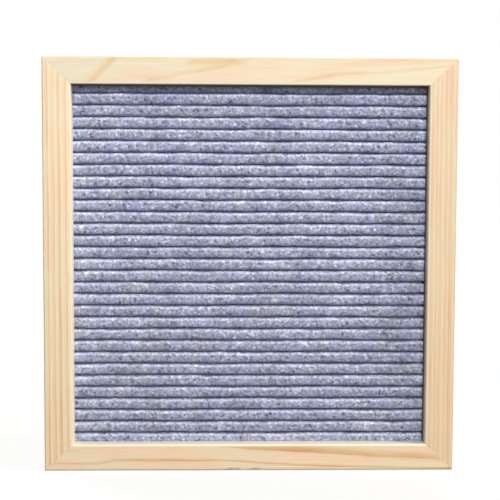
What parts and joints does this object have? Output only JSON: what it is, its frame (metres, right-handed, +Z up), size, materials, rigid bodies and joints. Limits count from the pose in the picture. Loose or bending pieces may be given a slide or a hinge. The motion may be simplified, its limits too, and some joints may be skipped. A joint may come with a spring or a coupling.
{
  "type": "felt letter board",
  "caption": "Square felt letter board: a mitred pine frame round grey felt folded into horizontal ridges, with slots that hold letter tabs and a sawtooth hanger behind",
  "frame": {"origin": "bottom centre of the whole board's box, the hanger on its back included", "axes": "+Z up, +X to the right seen from the front, the felt faces -Y and the wall side is +Y"},
  "size_m": [0.254, 0.0226, 0.254],
  "materials": {
    "frame_pine": "bare sanded pine, satin",
    "board_felt": "heathered light grey felt, matte",
    "core_fibreboard": "plain fibreboard, matte",
    "fixing_steel": "zinc-plated steel"
  },
  "bodies": {
    "root": {"rail_top": "frame_pine", "rail_bottom": "frame_pine", "stile_left": "frame_pine", "stile_right": "frame_pine", "felt_sheet": "board_felt", "core_board": "core_fibreboard", "retaining_tab_1": "fixing_steel", "retaining_tab_2": "fixing_steel", "retaining_tab_3": "fixing_steel", "retaining_tab_4": "fixing_steel", "retaining_tab_5": "fixing_steel", "retaining_tab_6": "fixing_steel", "retaining_tab_7": "fixing_steel", "retaining_tab_8": "fixing_steel", "v_nail_1": "fixing_steel", "v_nail_2": "fixing_steel", "v_nail_3": "fixing_steel", "v_nail_4": "fixing_steel", "v_nail_5": "fixing_steel", "v_nail_6": "fixing_steel", "v_nail_7": "fixing_steel", "v_nail_8": "fixing_steel", "sawtooth_hanger": "fixing_steel", "hanger_nail_left": "fixing_steel", "hanger_nail_right": "fixing_steel"}
  },
  "joints": []
}
